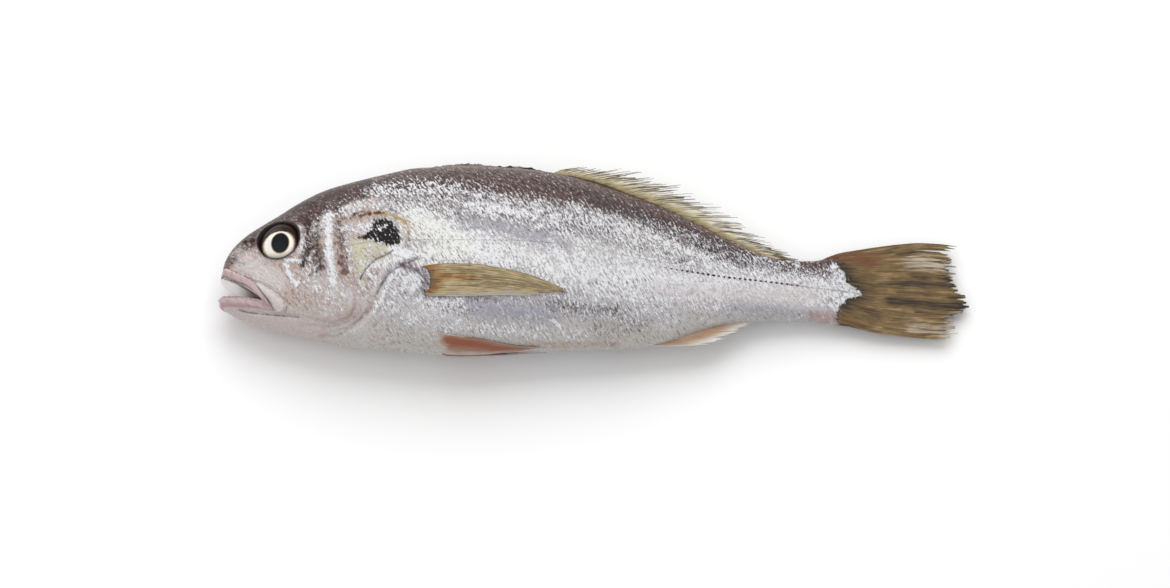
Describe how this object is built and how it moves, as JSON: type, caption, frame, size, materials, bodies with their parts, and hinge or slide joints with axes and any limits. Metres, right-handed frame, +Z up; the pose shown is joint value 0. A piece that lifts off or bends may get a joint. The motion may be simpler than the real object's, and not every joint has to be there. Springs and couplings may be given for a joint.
{
  "type": "whole raw fish",
  "caption": "Whole raw silver sea fish lying on its right side, head, eyes, parted jaws, gill covers and all fins kept, with folded dorsal fins and a blunt brown tail.",
  "frame": {"origin": "on the table under the middle of the fish's bounding box", "axes": "+X from head to tail, +Y from belly to back, +Z up out of the fish's left flank"},
  "size_m": [0.302, 0.0821, 0.0399],
  "materials": {
    "fish_skin": "wet silver scales over grey flesh, purple brown along the back",
    "fish_fin": "damp olive brown fin web with darker rays",
    "fish_mouth": "wet pink lip and dark red lining",
    "fish_eye": "clear wet eye, cream iris, black pupil"
  },
  "bodies": {
    "root": {"fish": "fish_skin", "eye_left": "fish_eye", "eye_right": "fish_eye"}
  },
  "joints": []
}
